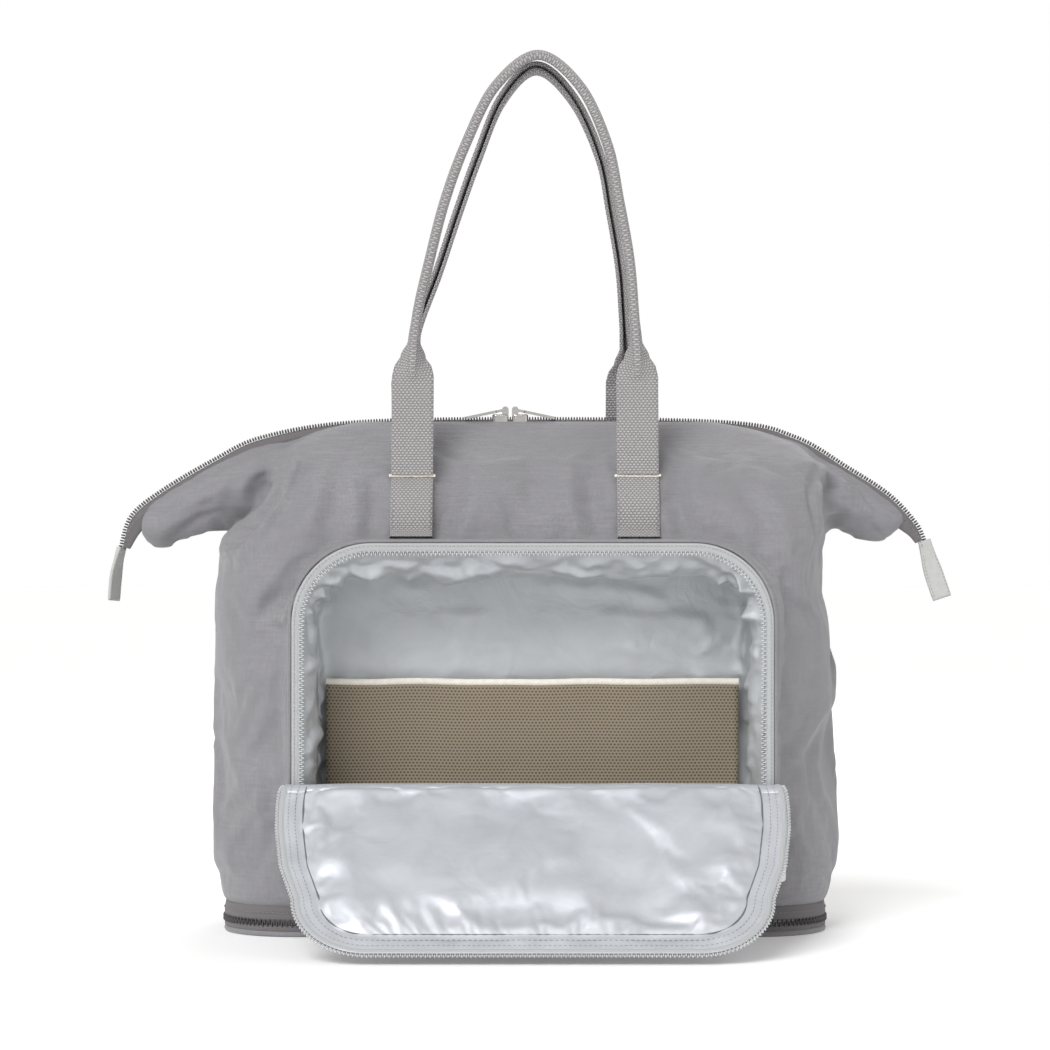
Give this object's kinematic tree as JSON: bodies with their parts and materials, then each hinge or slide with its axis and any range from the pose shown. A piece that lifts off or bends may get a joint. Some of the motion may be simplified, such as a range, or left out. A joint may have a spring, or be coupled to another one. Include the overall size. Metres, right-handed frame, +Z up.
{
  "type": "insulated cooler bag",
  "caption": "Canvas tote with a zipped folded top, webbing handles and a silver-lined cooler pocket on its front whose padded flap folds down.",
  "frame": {"origin": "centre of the base's underside, on the floor", "axes": "+X to the right, -Y to the front where the cooler pocket opens, +Z up"},
  "size_m": [0.5195, 0.3005, 0.5333],
  "materials": {
    "canvas": "waxed cotton canvas, light warm grey",
    "webbing": "coarse woven cotton webbing",
    "zip_tape": "woven tape, warm grey",
    "pale_tape": "woven tape, pale silver grey",
    "zip_coil": "dark nylon coil",
    "pale_coil": "pale nylon coil",
    "lining": "coated silver lining, satin",
    "foam": "closed-cell foam, sewn in",
    "bag_lining": "plain woven lining",
    "mesh": "dotted net, khaki and brown",
    "binding": "cream edge binding",
    "board": "stiffener sheet",
    "thread": "cream stitching",
    "tab_leather": "light grey coated",
    "nickel": "polished nickel"
  },
  "bodies": {
    "bag": {"front_panel": "canvas", "rear_panel": "canvas", "left_side_panel": "canvas", "right_side_panel": "canvas", "left_ear": "canvas", "right_ear": "canvas", "base_panel": "canvas", "pocket_rim": "canvas", "front_left_strap": "webbing", "front_right_strap": "webbing", "rear_left_strap": "webbing", "rear_right_strap": "webbing", "main_zip_front_tape": "zip_tape", "main_zip_rear_tape": "zip_tape", "base_zip_lower_tape": "zip_tape", "base_zip_upper_tape": "zip_tape", "pocket_zip_tape": "pale_tape", "main_zip_coil": "zip_coil", "base_zip_coil": "zip_coil", "pocket_zip_coil": "pale_coil", "cooler_lining": "lining", "flap_lip": "lining", "cooler_foam_back": "foam", "cooler_foam_floor": "foam", "cooler_foam_ceiling": "foam", "cooler_foam_left": "foam", "cooler_foam_right": "foam", "main_lining": "bag_lining", "cooler_divider": "bag_lining", "expansion_gusset": "bag_lining", "mesh_pocket": "mesh", "mesh_pocket_binding": "binding", "base_board": "board", "bar_tacks": "thread", "left_end_tab": "tab_leather", "right_end_tab": "tab_leather"},
    "flap": {"flap_lining": "lining", "flap_foam": "foam", "flap_outer": "canvas", "flap_zip_tape": "pale_tape", "flap_zip_coil": "pale_coil"},
    "front_handle": {"front_handle": "webbing"},
    "rear_handle": {"rear_handle": "webbing"},
    "main_slider_left": {"main_slider_left": "nickel"},
    "main_slider_right": {"main_slider_right": "nickel"},
    "main_pull_left": {"main_pull_left": "nickel"},
    "main_pull_right": {"main_pull_right": "nickel"},
    "pocket_slider": {"pocket_slider": "nickel"},
    "pocket_pull": {"pocket_pull": "nickel"},
    "base_slider": {"base_slider": "nickel"},
    "base_pull": {"base_pull": "nickel"}
  },
  "joints": [
    {"name": "flap_hinge", "type": "hinge", "parent": "bag", "child": "flap", "pos_m": [0, -0.0982, 0.091], "axis": [-1, 0, 0], "range_deg": [0, 127.5]},
    {"name": "front_handle_hinge", "type": "hinge", "parent": "bag", "child": "front_handle", "pos_m": [0, -0.0614, 0.272], "axis": [1, 0, 0], "range_deg": [0, 120]},
    {"name": "rear_handle_hinge", "type": "hinge", "parent": "bag", "child": "rear_handle", "pos_m": [0, 0.0614, 0.272], "axis": [-1, 0, 0], "range_deg": [0, 125]},
    {"name": "main_slide_left", "type": "slide", "parent": "bag", "child": "main_slider_left", "axis": [1, 0, 0], "range_m": [-0.08, 0]},
    {"name": "main_slide_right", "type": "slide", "parent": "bag", "child": "main_slider_right", "axis": [1, 0, 0], "range_m": [0, 0.096]},
    {"name": "pocket_slide", "type": "slide", "parent": "bag", "child": "pocket_slider", "axis": [0, 0, 1], "range_m": [0, 0.115]},
    {"name": "base_slide", "type": "slide", "parent": "bag", "child": "base_slider", "axis": [1, 0, 0], "range_m": [-0.22, 0]},
    {"name": "main_pull_left_hinge", "type": "hinge", "parent": "main_slider_left", "child": "main_pull_left", "pos_m": [-0.012, 0, 0.3134], "axis": [0, 1, 0], "range_deg": [0, 100]},
    {"name": "main_pull_right_hinge", "type": "hinge", "parent": "main_slider_right", "child": "main_pull_right", "pos_m": [-0.006, 0, 0.3134], "axis": [0, -1, 0], "range_deg": [0, 100]},
    {"name": "pocket_pull_hinge", "type": "hinge", "parent": "pocket_slider", "child": "pocket_pull", "pos_m": [0.1477, -0.1044, 0.061], "axis": [-1, 0, 0], "range_deg": [-10, 70]},
    {"name": "base_pull_hinge", "type": "hinge", "parent": "base_slider", "child": "base_pull", "pos_m": [0.113, 0.0878, 0.0082], "axis": [0, 0, -1], "range_deg": [0, 150]}
  ]
}
